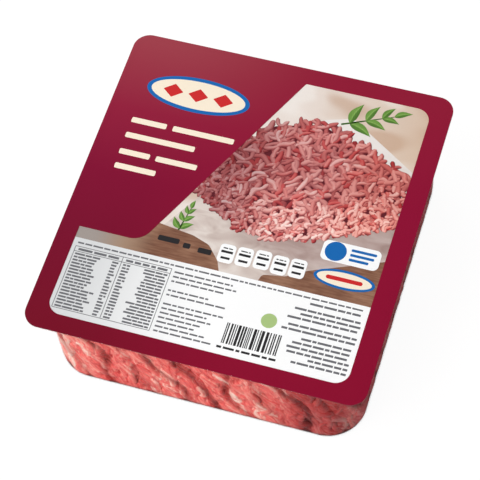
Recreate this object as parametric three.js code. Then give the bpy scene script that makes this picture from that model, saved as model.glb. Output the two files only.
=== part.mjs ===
// A shut tray pack of minced meat: a clear thermoformed tray, its filling, and a flat sealed lid film.
// Millimetres, +Z up, the front along -Y. The origin is the middle of the tray's flat base.
import * as THREE from "three";

// The lid film and the tray's flange share one outline.
const LID_WIDTH = 140;
const LID_DEPTH = 146;
const LID_CORNER = 7;
const PACK_HEIGHT = 48;
const FILM_THICKNESS = 0.4;

// Pieces that touch keep this gap.
const JOINT_GAP = 0.3;

// The tray is drawn from one sheet, and its wall leans in towards the base.
const SHEET = 0.7;
const INSET_TOP = 3.5;
const INSET_BASE = 4.3;
const WALL_CORNER_TOP = 17.8;
const WALL_CORNER_BASE = 16.3;
const NECK_FILLET = 1.2;
const BASE_FILLET = 3.2;
const SHELL_CORNER_STEPS = 10;
const FILLET_STEPS = 4;

// The filling is pressed against the wall in slanting folds, with creases between them. A crease
// moves on by one fold over FOLD_RISE of height, and wanders by the two waves.
const FOLD_COUNT = 36;
const FOLD_RISE = 40;
const CREASE_DEPTH = 2.4;
const SHALLOWEST_CREASE = 0.35;
const CREASE_SHARPNESS = 4;
const CREASE_WANDER = 0.16;
const CREASE_WAVES = [
  { around: 7, rise: 6 },
  { around: 11, rise: -9 },
];
const FILLING_EDGE = 2.6;
const FILLING_HEADSPACE = 0.8;

// The filling's top dips and rises a little on these rings, measured in from its rim.
const TOP_RINGS = [9, 22, 42];
const TOP_BUMP = 0.9;
const BUMPS_LONG = 0.37;
const BUMPS_SHORT = 0.9;
const FILLING_CORNER_STEPS = 8;
const FILLING_SIDE_STEPS = 31;
const FILLING_ROWS = 11;
const FILLING_SEED = 7;

const FLANGE_TOP = PACK_HEIGHT - FILM_THICKNESS - JOINT_GAP;
const FLANGE_UNDERSIDE = FLANGE_TOP - SHEET;

// One level ring round the pack, counter-clockwise seen from above. Its inset is measured in from the
// lid's edge. Each point keeps the direction in which the ring faces there.
function ring(inset, corner, z, cornerSteps = SHELL_CORNER_STEPS, sideSteps = 1) {
  const centreX = LID_WIDTH / 2 - inset - corner;
  const centreY = LID_DEPTH / 2 - inset - corner;
  const arcs = [0, 1, 2, 3].map((quarter) => {
    const middle = ((quarter + 0.5) * Math.PI) / 2;
    const centre = new THREE.Vector3(
      Math.sign(Math.cos(middle)) * centreX,
      Math.sign(Math.sin(middle)) * centreY,
      z,
    );
    return Array.from({ length: cornerSteps + 1 }, (_, step) => {
      const angle = ((quarter + step / cornerSteps) * Math.PI) / 2;
      const facing = new THREE.Vector3(Math.cos(angle), Math.sin(angle), 0);
      return { place: centre.clone().addScaledVector(facing, corner), facing };
    });
  });
  return arcs.flatMap((arc, quarter) => {
    const start = arc[cornerSteps];
    const end = arcs[(quarter + 1) % 4][0];
    const side = Array.from({ length: sideSteps - 1 }, (_, step) => ({
      place: start.place.clone().lerp(end.place, (step + 1) / sideSteps),
      facing: start.facing.clone(),
    }));
    return [...arc, ...side];
  });
}

// A closed body skinned over rings of equal length, with a fan on the first and on the last.
function skin(rings) {
  const columns = rings[0].length;
  const corners = rings.flat().map(({ place }) => place);
  const faces = [];
  for (let row = 0; row + 1 < rings.length; row++) {
    for (let column = 0; column < columns; column++) {
      const next = (column + 1) % columns;
      const low = row * columns;
      const high = low + columns;
      faces.push(low + column, low + next, high + next);
      faces.push(low + column, high + next, high + column);
    }
  }
  const last = (rings.length - 1) * columns;
  const first = corners.push(middleOf(rings[0])) - 1;
  const top = corners.push(middleOf(rings[rings.length - 1])) - 1;
  for (let column = 0; column < columns; column++) {
    const next = (column + 1) % columns;
    faces.push(first, next, column);
    faces.push(top, last + column, last + next);
  }
  const geometry = new THREE.BufferGeometry().setFromPoints(corners);
  geometry.setIndex(faces);
  geometry.computeVertexNormals();
  return geometry;
}

function middleOf(points) {
  const sum = new THREE.Vector3();
  points.forEach(({ place }) => sum.add(place));
  return sum.divideScalar(points.length);
}

// The wall's outer face at a height: how far in from the lid's edge it lies, and its corner radius.
function wallAt(z) {
  const up = THREE.MathUtils.clamp(z / FLANGE_UNDERSIDE, 0, 1);
  return {
    inset: THREE.MathUtils.lerp(INSET_BASE, INSET_TOP, up),
    corner: THREE.MathUtils.lerp(WALL_CORNER_BASE, WALL_CORNER_TOP, up),
  };
}

// A ring that lies a distance inside the wall's outer face.
function insideWall(z, distance, cornerSteps, sideSteps) {
  const { inset, corner } = wallAt(z);
  return ring(inset + distance, corner - distance, z, cornerSteps, sideSteps);
}

// A quarter round from flat to upright: the distance in from the wall's outer face, and the height.
function baseFillet(radius, distance, lowest) {
  return Array.from({ length: FILLET_STEPS + 1 }, (_, step) => {
    const angle = (step / FILLET_STEPS) * (Math.PI / 2);
    return {
      distance: distance + radius * (1 - Math.sin(angle)),
      z: lowest + radius * (1 - Math.cos(angle)),
    };
  });
}

// The neck, a quarter round where the wall turns out into the flange.
function neckFillet(radius, distance, highest) {
  return Array.from({ length: FILLET_STEPS + 1 }, (_, step) => {
    const angle = (step / FILLET_STEPS) * (Math.PI / 2);
    return {
      distance: distance - radius * (1 - Math.cos(angle)),
      z: highest - radius * (1 - Math.sin(angle)),
    };
  });
}

function trayGeometry() {
  const outer = [
    ...baseFillet(BASE_FILLET, 0, 0),
    ...neckFillet(NECK_FILLET, 0, FLANGE_UNDERSIDE),
  ];
  const inner = [
    ...baseFillet(BASE_FILLET - SHEET, SHEET, SHEET),
    ...neckFillet(NECK_FILLET + SHEET, SHEET, FLANGE_TOP),
  ];
  const level = ({ distance, z }) => insideWall(z, distance);
  return skin([
    ...outer.map(level),
    ring(0, LID_CORNER, FLANGE_UNDERSIDE),
    ring(0, LID_CORNER, FLANGE_TOP),
    ...inner.reverse().map(level),
  ]);
}

function lidGeometry() {
  return skin([
    ring(0, LID_CORNER, PACK_HEIGHT - FILM_THICKNESS),
    ring(0, LID_CORNER, PACK_HEIGHT),
  ]);
}

// A repeatable draw of numbers from 0 to 1.
function seededDraw(seed) {
  let state = seed;
  return () => {
    state = (state * 1664525 + 1013904223) % 4294967296;
    return state / 4294967296;
  };
}

// How deep each crease between two folds is, as a share of the deepest.
function creaseShares() {
  const draw = seededDraw(FILLING_SEED);
  return Array.from({ length: FOLD_COUNT }, () =>
    THREE.MathUtils.lerp(SHALLOWEST_CREASE, 1, draw()),
  );
}

// How far the filling stands back from the tray, at a share of the way round and a height. The
// creases run down to the right.
function creaseDepth(shares, turn, z) {
  const waves = CREASE_WAVES.map(({ around, rise }) =>
    Math.sin(2 * Math.PI * around * turn + z / rise),
  );
  const wander = CREASE_WANDER * (waves[0] + waves[1]);
  const phase = FOLD_COUNT * turn + z / FOLD_RISE + wander;
  const nearest = ((Math.round(phase) % FOLD_COUNT) + FOLD_COUNT) % FOLD_COUNT;
  const closeness = 0.5 + 0.5 * Math.cos(2 * Math.PI * phase);
  return CREASE_DEPTH * shares[nearest] * Math.pow(closeness, CREASE_SHARPNESS);
}

function fillingGeometry() {
  const shares = creaseShares();
  const clear = SHEET + JOINT_GAP;
  const bottom = clear;
  const highest = PACK_HEIGHT - FILM_THICKNESS - FILLING_HEADSPACE;
  const wallLow = bottom + FILLING_EDGE;
  const wallHigh = highest - FILLING_EDGE;
  const edge = baseFillet(FILLING_EDGE, clear, bottom);
  const wall = Array.from({ length: FILLING_ROWS }, (_, row) => ({
    distance: clear,
    z: THREE.MathUtils.lerp(wallLow, wallHigh, (row + 1) / FILLING_ROWS),
  }));
  const shoulder = edge.slice(0, -1).reverse().map(({ distance, z }) => ({
    distance,
    z: highest - (z - bottom),
  }));
  const sides = [...edge, ...wall, ...shoulder].map(({ distance, z }) => {
    const level = insideWall(z, distance, FILLING_CORNER_STEPS, FILLING_SIDE_STEPS);
    return level.map(({ place, facing }, index) => {
      const depth = creaseDepth(shares, index / level.length, z);
      return { place: place.addScaledVector(facing, -depth), facing };
    });
  });
  const rim = sides[sides.length - 1];
  const top = TOP_RINGS.map((distance) => {
    const shrink = 1 - distance / (LID_WIDTH / 2);
    return rim.map(({ place, facing }, index) => {
      const short = Math.sin(BUMPS_SHORT * index + distance);
      const long = Math.cos(BUMPS_LONG * index - distance);
      const z = highest - TOP_BUMP * (1 + short * long);
      return { place: new THREE.Vector3(place.x * shrink, place.y * shrink, z), facing };
    });
  });
  return skin([...sides, ...top]);
}

const clearPlastic = new THREE.MeshStandardMaterial({
  color: 0xeef2f2,
  roughness: 0.08,
  metalness: 0,
  transparent: true,
  opacity: 0.3,
});
const mincedMeat = new THREE.MeshStandardMaterial({ color: 0xc8605a, roughness: 0.4, metalness: 0 });
const crimsonFilm = new THREE.MeshStandardMaterial({ color: 0x911a37, roughness: 0.25, metalness: 0 });

function piece(name, geometry, material) {
  const mesh = new THREE.Mesh(geometry, material);
  mesh.name = name;
  return mesh;
}

const pack = new THREE.Group();
pack.add(piece("tray", trayGeometry(), clearPlastic));
pack.add(piece("mince", fillingGeometry(), mincedMeat));
pack.add(piece("lid_film", lidGeometry(), crimsonFilm));

export default pack;
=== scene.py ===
# A shut tray pack of minced meat: a clear rigid tray, meat pressed against its wall, a printed lid film.
# Lengths are millimetres until a mesh is finished, and the mesh is then in metres.
import math
import random

import bmesh
import bpy
import numpy as np
from mathutils import Matrix, Vector
from mathutils.noise import noise as noise_at


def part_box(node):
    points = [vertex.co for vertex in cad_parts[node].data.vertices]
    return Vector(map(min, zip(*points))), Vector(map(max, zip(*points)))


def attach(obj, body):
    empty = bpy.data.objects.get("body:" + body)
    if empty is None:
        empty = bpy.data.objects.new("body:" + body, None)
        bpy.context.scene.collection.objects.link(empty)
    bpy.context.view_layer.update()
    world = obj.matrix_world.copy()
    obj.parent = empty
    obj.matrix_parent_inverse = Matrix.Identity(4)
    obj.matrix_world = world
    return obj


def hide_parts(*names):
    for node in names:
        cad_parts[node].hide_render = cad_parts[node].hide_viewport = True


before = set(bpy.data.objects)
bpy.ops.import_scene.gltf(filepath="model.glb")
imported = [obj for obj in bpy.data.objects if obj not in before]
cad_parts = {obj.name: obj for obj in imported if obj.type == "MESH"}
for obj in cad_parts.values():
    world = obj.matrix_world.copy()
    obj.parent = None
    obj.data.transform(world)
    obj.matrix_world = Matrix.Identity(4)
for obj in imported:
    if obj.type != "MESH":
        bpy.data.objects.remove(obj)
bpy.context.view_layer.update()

MM = 0.001
TURN = 2 * math.pi
film_low, film_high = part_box("lid_film")
_, tray_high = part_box("tray")

# The lid film and the tray's flange share one outline.
LID_WIDTH = (film_high.x - film_low.x) / MM
LID_DEPTH = (film_high.y - film_low.y) / MM
PACK_HEIGHT = film_high.z / MM
FLANGE_TOP = tray_high.z / MM
LID_CORNER = 7.0

# The tray's sheet, its wall that leans in towards the base, and its rounds.
SHEET = 0.7
FLANGE_UNDERSIDE = FLANGE_TOP - SHEET
INSET_TOP = 3.5
INSET_BASE = 4.3
WALL_CORNER_TOP = 17.8
WALL_CORNER_BASE = 16.3
NECK_FILLET = 1.2
BASE_FILLET = 3.2
FILLET_STEPS = 8
TIGHTEST_CORNER = 0.5
FLANGE_EDGE_ROUND = 0.15
BASE_PANEL_INSET = 24.0
BASE_PANEL_RISE = 0.25
BASE_PANEL_SLOPE = 1.2
BASE_PANEL_CORNER = 2.0

# A corner takes this share of each quarter turn round the pack, and the columns fit it.
CORNER_SHARE = 8 / 39
SHELL_COLUMNS = 468
CORE_COLUMNS = 624
CORE_ROWS = 56
SEAM_GAP = 0.002

# The meat's slanting folds, with creases between them, as in the solid that they replace. The strands on
# the wall bridge the creases, so that they stand back there by only a share of the depth.
FOLD_COUNT = 36
FOLD_RISE = 40.0
CREASE_DEPTH = 2.4
SHALLOWEST_CREASE = 0.35
CREASE_SHARPNESS = 4
CREASE_WANDER = 0.16
CREASE_WAVES = ((7, 6.0), (11, -9.0))
FOLD_SEED = 7
DRAW_FACTOR = 1664525
DRAW_STEP = 1013904223
DRAW_RANGE = 2 ** 32
MEAT_TOP = PACK_HEIGHT - 1.2
TOP_EDGE = 2.6
CREASE_FOOT = 2.2
CREASE_FOOT_RISE = 5.0
BRIDGED = 0.28
PIT_DEPTH = 1.1
PIT_SIZE = 2.6
PIT_GAIN = 1.9
PIT_FLOOR = 0.15
FOLD_LEAN = 0.36

# How the meat's marks come about: depths at which its painted shade is full, its painted shade along the foot
# of the wall, shares of its painted shade, and its tints.
DARK_DEPTH = 1.7
BASE_DARK_DEPTH = 1.8
FOOT_SHADE_TOP = 3.8
FOOT_SHADE_FALL = 1.8
FOOT_SHADE_MARK = 2.0
PIT_SHADE = 0.8
FOLD_SHADE = 0.7
STRAND_SHADE = 0.6
CORE_TINT = 0.47
TINT_DRIFT = 0.1
TINT_BAND = 2.7
LEAN_SHARE = 0.62
FAT_SHARE = 0.08

# How much strands bend and wave, in radians, how lumpy they are, and how far they stand out of the core.
STRAND_BEND = 0.7
STRAND_WAVE = 0.35
STRAND_LUMPS = 0.14
STRAND_PROUD = (-0.05, 0.75)

# The meat is pressed this far into the clear wall, so that no air shows where it touches.
STRAND_CONTACT = (0.25, 0.38)
CORE_CONTACT = 0.42
CONTACT_SOFTNESS = 0.1

# The least share of light that passes straight through the clear plastic.
STRAIGHT_SHARE = 0.8

# The film's two plies, its weld lines, the steps between the printed fields, and the ink's gloss.
FILM_BOTTOM = FLANGE_TOP
BASE_PLY_TOP = PACK_HEIGHT - 0.16
TOP_PLY_TOP = PACK_HEIGHT - 0.04
PRINT_STEP = 0.01
PRINT_THICKNESS = 0.03
PLY_OVERLAP = 0.02
WELD_LINES = (1.3, 2.3)
WELD_WIDTH = 0.35
INK_GLOSS = 0.36

# The levels of some fields, in steps up from the base ply.
HEAP_LEVEL = 4.5
PANEL_LEVEL = 5
ON_PANEL = 7
BADGE_LEVEL = 10
ON_BADGE = 11
TOP_LEVEL = (TOP_PLY_TOP - BASE_PLY_TOP) / PRINT_STEP

# The window in the crimson ply, and the places of the printed fields on the lid.
WINDOW_LEFT = -62.0
WINDOW_RIGHT = 61.3
WINDOW_FRONT = -65.5
WINDOW_BACK = 65.3
WINDOW_ROUND = 6.0
PANEL_BACK = -30.2
FIELD_FRONT = -25.0
FIELD_TURN = (-35.6, -25.0)
FIELD_TURN_ROUND = 8.5
FIELD_BACK = (7.2, 65.3)
FIELD_BACK_ROUND = 0.6

# The seeds of the random draws.
WALL_SEED, BASE_SEED, HEAP_SEED, GREY_SEED, DARK_SEED = 21, 33, 5, 11, 19

# The middles of the cells, the right end of the blocks of bars, and the rows of cream bars.
CELLS = ((-0.5, -21.8), (6.8, -21.5), (14.2, -20.9), (21.5, -21.4), (28.8, -21.0))
BLOCK_RIGHT = WINDOW_RIGHT - 1.5
CREAM_ROWS = (
    (29.6, ((-58.3, -43.0), (-40.2, -13.6))),
    (21.9, ((-58.4, -28.2),)),
    (13.6, ((-58.3, -45.0), (-42.4, -24.6))),
    (6.5, ((-57.9, -40.2),)),
)

# The sprigs in the picture: root, heading, and a leaf's length and width. Then their stem and leaves.
SPRIGS = (
    ((30.0, 51.0), math.radians(24), 11.0, 4.6),
    ((-22.5, -15.5), math.radians(80), 6.0, 3.0),
)
STEM_TAIL = 3.5
VEINS = 7
VEIN_SLANT = 2.2
LEAF_ARCH = 0.08

# The heap's strands: their spread, their form before the ridge, how they are lit, and their lean, pale and
# raw colours, each from its darkest shade to its lightest.
HEAP_HEIGHT = 0.025
HEAP_BEND = 1.8
FRONT_LENGTH = 0.55
FRONT_WIDTH = 0.85
FRONT_LIGHT = (1.0, 1.32)
HEAP_DARKEST = 0.08
HEAP_TOP_LIGHT = 0.56
HEAP_SIDE_LIGHT = 0.42
HEAP_STOPS = (0.0, 0.25, 0.55, 0.9)
HEAP_COLOURS = (
    ((80, 22, 30), (148, 60, 64), (212, 112, 108), (246, 178, 168)),
    ((104, 40, 48), (184, 106, 106), (234, 168, 160), (254, 230, 222)),
    ((84, 12, 22), (148, 34, 44), (208, 72, 74), (244, 142, 134)),
)

# The side from which the room is bright, and its lamps: place, size and power.
WHITE = (1, 1, 1, 1)
BRIGHT_SIDE = (-0.75, -0.5, 0.45)
LAMP_AIM = (0, 0, 0.02)
LAMPS = (
    ("key_lamp", (-0.55, -0.45, 0.95), 0.7, 4.6),
    ("back_lamp", (-0.72, 0.78, 0.95), 0.6, 2.6),
    ("front_lamp", (-0.4, -1.0, 0.36), 0.6, 5.2),
)


def srgb(red, green, blue):
    """A colour given as it looks on screen, as the linear colour that a shader takes."""
    def linear(value):
        share = value / 255
        return share / 12.92 if share <= 0.04045 else ((share + 0.055) / 1.055) ** 2.4
    return (linear(red), linear(green), linear(blue), 1.0)


# Shapes that go round the pack
def direction(angle):
    """The level direction at an angle."""
    return np.stack([np.cos(angle), np.sin(angle)], axis=-1)


def left_of(way):
    """The direction a quarter turn to the left of another."""
    return np.stack([-way[..., 1], way[..., 0]], axis=-1)


def around(turn, inset, corner):
    """Places on a rounded square, at shares of the way round from its +X side."""
    quarter = np.floor(turn * 4)
    share = turn * 4 - quarter
    on_arc = np.minimum(share / CORNER_SHARE, 1.0)
    on_side = np.maximum((share - CORNER_SHARE) / (1 - CORNER_SHARE), 0.0)
    facing = direction((quarter + on_arc) * math.pi / 2)
    here = direction((quarter + 0.5) * math.pi / 2)
    start = np.sign(here)
    side = start + (np.sign(left_of(here)) - start) * on_side[..., None]
    reach = np.stack([LID_WIDTH / 2 - inset - corner, LID_DEPTH / 2 - inset - corner], axis=-1)
    return side * reach + facing * np.asarray(corner)[..., None]


def wall_shape(z):
    """How far in from the lid's edge the wall's outer face lies at a height, and its corner radius."""
    up = np.clip(z / FLANGE_UNDERSIDE, 0.0, 1.0)
    inset = INSET_BASE + (INSET_TOP - INSET_BASE) * up
    corner = WALL_CORNER_BASE + (WALL_CORNER_TOP - WALL_CORNER_BASE) * up
    return inset, corner


def inside_wall(turn, z, distance):
    """Places at a distance in from the wall's outer face."""
    inset, corner = wall_shape(z)
    flat = around(turn, inset + distance, np.maximum(corner - distance, TIGHTEST_CORNER))
    return np.concatenate([flat, z[..., None]], axis=-1)


def wrapped(columns, rows, place):
    """A closed skin: a grid whose columns go round the pack and whose rows run from pole to pole."""
    bm = bmesh.new()
    bmesh.ops.create_grid(bm, x_segments=columns, y_segments=rows - 1, size=0.5)
    flat = np.array([vert.co for vert in bm.verts])
    row = np.rint((flat[:, 1] + 0.5) * (rows - 1)).astype(int)
    spots, marks = place(flat[:, 0] + 0.5, row)
    layers = {key: mark_layer(bm, key, values) for key, values in marks.items()}
    for index, vert in enumerate(bm.verts):
        vert.co = spots[index]
        for key, layer in layers.items():
            vert[layer] = marks[key][index]
    bmesh.ops.remove_doubles(bm, verts=bm.verts, dist=SEAM_GAP)
    return bm


def mark_layer(bm, key, values):
    """A layer on the vertices for a mark of one number, or of three."""
    kinds = bm.verts.layers
    return (kinds.float_vector if values.ndim == 2 else kinds.float).new(key)


def level_skin(columns, rings):
    """A closed skin over level rings, each with its inset, corner, height and size."""
    table = np.array(rings)

    def place(turn, row):
        inset, corner, z, size = table[row].T
        return np.column_stack([around(turn, inset, corner) * size[:, None], z]), {}

    return wrapped(columns, len(rings), place)


def wall_ring(distance, z, size=1.0):
    """One ring of a level skin, at a distance in from the wall's outer face."""
    inset, corner = wall_shape(z)
    return (inset + distance, corner - distance, z, size)


def quarter_round():
    """A quarter round's steps: shares of its radius left to go on the level, and gone on the rise."""
    angles = [step / FILLET_STEPS * math.pi / 2 for step in range(FILLET_STEPS + 1)]
    return [(1 - math.sin(angle), 1 - math.cos(angle)) for angle in angles]


def base_fillet(radius, distance, lowest):
    """A quarter round from flat to upright, as distances and heights."""
    return [(distance + radius * level, lowest + radius * rise) for level, rise in quarter_round()]


def neck_fillet(radius, distance, highest):
    """The quarter round where the wall turns out into the flange."""
    return [(distance - radius * rise, highest - radius * level) for level, rise in quarter_round()]


# Making pieces from finished shapes
def finished(name, bm, material, node=None, sharp=20.0):
    """The piece: its mesh in metres, riding on the pack, and standing for its CAD node if it has one."""
    bmesh.ops.recalc_face_normals(bm, faces=bm.faces)
    bmesh.ops.scale(bm, vec=(MM, MM, MM), verts=bm.verts)
    mesh = bpy.data.meshes.new(name)
    bm.to_mesh(mesh)
    bm.free()
    mesh.shade_smooth()
    mesh.set_sharp_from_angle(angle=math.radians(sharp))
    mesh.materials.append(material)
    piece = bpy.data.objects.new(name, mesh)
    bpy.context.scene.collection.objects.link(piece)
    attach(piece, "root")
    if node:
        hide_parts(node)


# Strands, which are the meat's real form and also the printed heap's
STRAND_SIDES = 8
STRAND_RINGS = 9


def strand_template():
    """One unit strand: for each vertex how far across, out and along it lies, and the faces."""
    bm = bmesh.new()
    bmesh.ops.create_cone(bm, cap_ends=True, segments=STRAND_SIDES, radius1=1.0, radius2=1.0, depth=1.0)
    lengthways = [edge for edge in bm.edges if abs(edge.verts[0].co.z - edge.verts[1].co.z) > 0.5]
    bmesh.ops.subdivide_edges(bm, edges=lengthways, cuts=STRAND_RINGS - 2)
    bm.verts.index_update()
    places = np.array([vert.co for vert in bm.verts])
    faces = [[vert.index for vert in face.verts] for face in bm.faces]
    bm.free()
    return places, faces


TEMPLATE, TEMPLATE_FACES = strand_template()
ACROSS, OUT, ALONG = TEMPLATE.T
RING = np.rint((ALONG + 0.5) * (STRAND_RINGS - 1)).astype(int)
BLUNTNESS = 5
END_SIZE = 0.3
TAPER = np.maximum(np.sqrt(1 - np.abs(2 * ALONG) ** BLUNTNESS), END_SIZE)


def drawn_strands(draw, middles, heading, lean, length, half_width, half_thickness):
    """The random make-up of strands that lie about their middles, all leaning near one heading."""
    count = len(middles)
    return {
        "middle": middles,
        "heading": draw.normal(heading, lean, count),
        "bend": draw.normal(0.0, STRAND_BEND, count),
        "wave": draw.normal(0.0, STRAND_WAVE, count),
        "phase": draw.uniform(0.0, 1.0, count),
        "length": draw.uniform(*length, count),
        "half_width": draw.uniform(*half_width, count),
        "half_thickness": draw.uniform(*half_thickness, count),
    }


def laid_out(strands):
    """Each vertex's place along the plane's two ways and out from it, and the direction to its strand's
    left."""
    column = {key: value[:, None] for key, value in strands.items() if key != "middle"}
    step = np.linspace(-0.5, 0.5, STRAND_RINGS)
    swing = column["wave"] * np.sin(TURN * (step + column["phase"]))
    way = direction(column["heading"] + column["bend"] * step + swing)
    run = np.cumsum(way, axis=1) * column["length"][..., None] / (STRAND_RINGS - 1)
    line = strands["middle"][:, None, :] + run - run[:, STRAND_RINGS // 2, None, :]
    lumps = 1 + STRAND_LUMPS * np.sin(9 * step[RING] + 12 * column["phase"])
    sideways = ACROSS * column["half_width"] * TAPER * lumps
    out = OUT * column["half_thickness"] * TAPER * lumps
    left = left_of(way[:, RING])
    flat = line[:, RING] + left * sideways[..., None]
    return flat[..., 0], flat[..., 1], out, left


def joined_strands(name, places, marks, material, node=None):
    """All strands of one kind as one piece. Its marks are numbers or vectors for each vertex."""
    count, size = places.shape[:2]
    faces = [[index + strand * size for index in face] for strand in range(count) for face in TEMPLATE_FACES]
    draft = bpy.data.meshes.new(name + "_draft")
    draft.from_pydata(places.reshape(-1, 3), [], faces)
    for key, values in marks.items():
        kind, field = ("FLOAT_VECTOR", "vector") if values.ndim == 3 else ("FLOAT", "value")
        layer = draft.attributes.new(key, kind, "POINT")
        layer.data.foreach_set(field, values.astype(np.float32).ravel())
    bm = bmesh.new()
    bm.from_mesh(draft)
    bpy.data.meshes.remove(draft)
    finished(name, bm, material, node, sharp=75.0)


# Node helpers
def add(tree, kind, inputs=None, **settings):
    """One shader node with its settings, and its inputs as values or as other nodes' outputs."""
    made = tree.nodes.new("ShaderNode" + kind)
    for name, value in settings.items():
        setattr(made, name, value)
    for key, value in (inputs or {}).items():
        if isinstance(value, bpy.types.NodeSocket):
            tree.links.new(value, made.inputs[key])
        else:
            made.inputs[key].default_value = value
    return made


def maths(tree, operation, first, second):
    return add(tree, "Math", {0: first, 1: second}, operation=operation).outputs[0]


def plus(tree, first, second):
    return maths(tree, "ADD", first, second)


def times(tree, first, second):
    return maths(tree, "MULTIPLY", first, second)


def spread(tree, value, low, high, new_low, new_high, smooth=True):
    """A value brought from one range into another."""
    kind = "SMOOTHSTEP" if smooth else "LINEAR"
    inputs = {"Value": value, "From Min": low, "From Max": high, "To Min": new_low, "To Max": new_high}
    return add(tree, "MapRange", inputs, interpolation_type=kind).outputs["Result"]


def mixed(tree, factor, first, second, blend="MIX"):
    """Two colours mixed."""
    inputs = {0: factor, 6: first, 7: second}
    return add(tree, "Mix", inputs, data_type="RGBA", blend_type=blend).outputs[2]


def shaded(tree, factor, colour, *shade):
    """A colour multiplied by a shade, as far as the factor says."""
    return mixed(tree, factor, colour, srgb(*shade), "MULTIPLY")


def shader_mix(tree, share, first, second):
    """Two shaders mixed."""
    inputs = {0: share, 1: first.outputs[0], 2: second.outputs[0]}
    return add(tree, "MixShader", inputs).outputs[0]


def ramp(tree, factor, *stops):
    """A colour read off a row of stops, each a position and a colour as it looks on screen."""
    made = add(tree, "ValToRGB", {"Fac": factor})
    elements = made.color_ramp.elements
    while len(elements) < len(stops):
        elements.new(0.5)
    for element, (position, *colour) in zip(elements, stops):
        element.position = position
        element.color = srgb(*colour)
    return made.outputs["Color"]


def noise(tree, where, scale, detail=3.0, roughness=0.5, distortion=0.0):
    inputs = {
        "Vector": where, "Scale": scale, "Detail": detail, "Roughness": roughness, "Distortion": distortion,
    }
    return add(tree, "TexNoise", inputs).outputs["Fac"]


def mark(tree, name, kind="Fac"):
    """A mark that the mesh carries, as a number or as a vector."""
    return add(tree, "Attribute", attribute_name=name).outputs[kind]


def object_place(tree, turn=0.0, scale=(1, 1, 1), middle=(0, 0, 0)):
    """Object coordinates, turned about +Z and scaled, with their zero moved to a place in millimetres."""
    coordinates = add(tree, "TexCoord").outputs["Object"]
    inputs = {0: coordinates, 1: tuple(value * MM for value in middle)}
    shifted = add(tree, "VectorMath", inputs, operation="SUBTRACT").outputs[0]
    inputs = {"Vector": shifted, "Rotation": (0, 0, turn), "Scale": scale}
    return add(tree, "Mapping", inputs).outputs[0]


def fade(tree, axis, low, high, new_low, new_high, smooth=True):
    """A value that changes between two places along one of the pack's axes, in millimetres."""
    place = add(tree, "SeparateXYZ", {0: object_place(tree)}).outputs[axis]
    return spread(tree, place, low * MM, high * MM, new_low, new_high, smooth)


def surfaced(name, build):
    """A material whose surface is the shader that a function builds in its nodes."""
    material = bpy.data.materials.new(name)
    material.use_nodes = True
    tree = material.node_tree
    tree.nodes.clear()
    tree.links.new(build(tree), add(tree, "OutputMaterial").inputs["Surface"])
    return material


def new_group(name, **inputs):
    """An empty shader group that takes the named inputs and gives what a shader needs."""
    group = bpy.data.node_groups.new(name, "ShaderNodeTree")
    outputs = {"Colour": "Color", "Roughness": "Float", "Height": "Float"}
    for way, sockets in (("INPUT", inputs), ("OUTPUT", outputs)):
        for label, kind in sockets.items():
            group.interface.new_socket(name=label, in_out=way, socket_type="NodeSocket" + kind)
    return group, group.nodes.new("NodeGroupInput").outputs, group.nodes.new("NodeGroupOutput").inputs


def bumped(tree, strength, distance, height):
    """A normal that follows a height, over a distance in millimetres."""
    inputs = {"Strength": strength, "Distance": distance * MM, "Height": height}
    return add(tree, "Bump", inputs).outputs["Normal"]


def print_grain_group():
    """The fine mottle of ink on film, and the slight unevenness of its gloss."""
    group, given, out = new_group("print_grain", Ink="Color", Mottle="Float")
    where = object_place(group)
    fine = noise(group, where, 2600.0, 2.0)
    broad = noise(group, where, 60.0, 3.0)
    lift = plus(group, times(group, fine, 0.6), times(group, broad, 0.4))
    bright = plus(group, times(group, plus(group, lift, -0.5), given["Mottle"]), 1.0)
    scaled = add(group, "VectorMath", {0: given["Ink"], "Scale": bright}, operation="SCALE")
    group.links.new(scaled.outputs[0], out["Colour"])
    uneven = spread(group, broad, 0.3, 0.7, -0.04, 0.05)
    group.links.new(plus(group, uneven, INK_GLOSS), out["Roughness"])
    group.links.new(noise(group, where, 95.0, 4.0, 0.6), out["Height"])
    return group


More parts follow.
